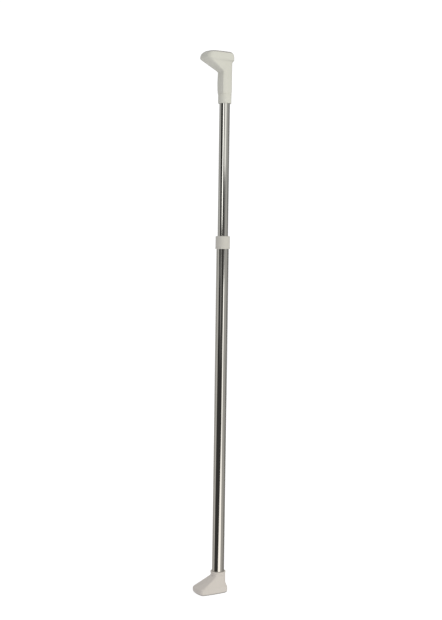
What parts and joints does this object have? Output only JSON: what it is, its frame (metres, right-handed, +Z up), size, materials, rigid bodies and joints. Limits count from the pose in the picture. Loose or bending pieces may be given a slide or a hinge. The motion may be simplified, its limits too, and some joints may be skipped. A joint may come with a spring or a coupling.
{
  "type": "door security bar",
  "caption": "Telescopic door security bar: two steel tubes with a twist lock, an L-shaped boot below and a sprung, swivelling L-shaped head above.",
  "frame": {"origin": "on the flat face of the lower pad, under the tubes' axis", "axes": "+Z up along the tubes' axis, both toes point along -X, +Y completes the right-handed frame"},
  "size_m": [0.0895, 0.059, 1.45],
  "materials": {
    "stainless_tube": "polished stainless, fine lengthwise grain",
    "shell_plastic": "satin moulded plastic, pale warm grey",
    "pad_rubber": "matt non-marking rubber, pale grey",
    "nylon": "natural nylon",
    "ring_rubber": "matt black rubber",
    "zinc_steel": "bright zinc plate",
    "spring_steel": "drawn spring wire"
  },
  "bodies": {
    "outer": {"outer_tube": "stainless_tube", "tube_collar": "shell_plastic", "collar_bush": "nylon", "lower_foot_shell": "shell_plastic", "lower_foot_pad": "pad_rubber", "lower_tube_plug": "nylon", "lower_foot_screw": "zinc_steel", "lower_foot_washer": "zinc_steel"},
    "lock_shoe": {"lock_expander": "nylon", "expander_ring": "ring_rubber"},
    "lock_cone": {"lock_cone": "nylon"},
    "inner": {"inner_tube": "stainless_tube", "lock_spindle": "zinc_steel", "spindle_plug": "nylon", "spindle_pin": "zinc_steel", "spindle_end_nut": "zinc_steel", "spring_seat_plug": "nylon", "head_spring": "spring_steel"},
    "plunger": {"head_plunger": "zinc_steel", "plunger_screw": "zinc_steel", "plunger_washer": "zinc_steel", "spring_washer": "zinc_steel"},
    "head": {"head_shell": "shell_plastic", "head_pad": "pad_rubber", "sleeve_cuff": "shell_plastic"}
  },
  "joints": [
    {"name": "extension", "type": "slide", "parent": "outer", "child": "lock_shoe", "axis": [0, 0, 1], "range_m": [-0.325, 0.55]},
    {"name": "twist_lock", "type": "hinge", "parent": "lock_shoe", "child": "inner", "pos_m": [0, 0, 0.4], "axis": [0, 0, 1], "range_deg": [0, 270]},
    {"name": "cone_travel", "type": "slide", "parent": "lock_shoe", "child": "lock_cone", "axis": [0, 0, 1], "range_m": [-0.0031, 0.0001]},
    {"name": "head_compression", "type": "slide", "parent": "inner", "child": "plunger", "axis": [0, 0, 1], "range_m": [-0.025, 0], "stiffness_N_per_m": 8000, "springref_m": 0.005, "deforming": ["head_spring"]},
    {"name": "head_swivel", "type": "hinge", "parent": "plunger", "child": "head", "pos_m": [0, 0, 1.43], "axis": [0, 0, 1], "continuous": true}
  ],
  "couplings": [
    {"joint": "cone_travel", "follows": "twist_lock", "m_per_rad": -0.00063662}
  ]
}
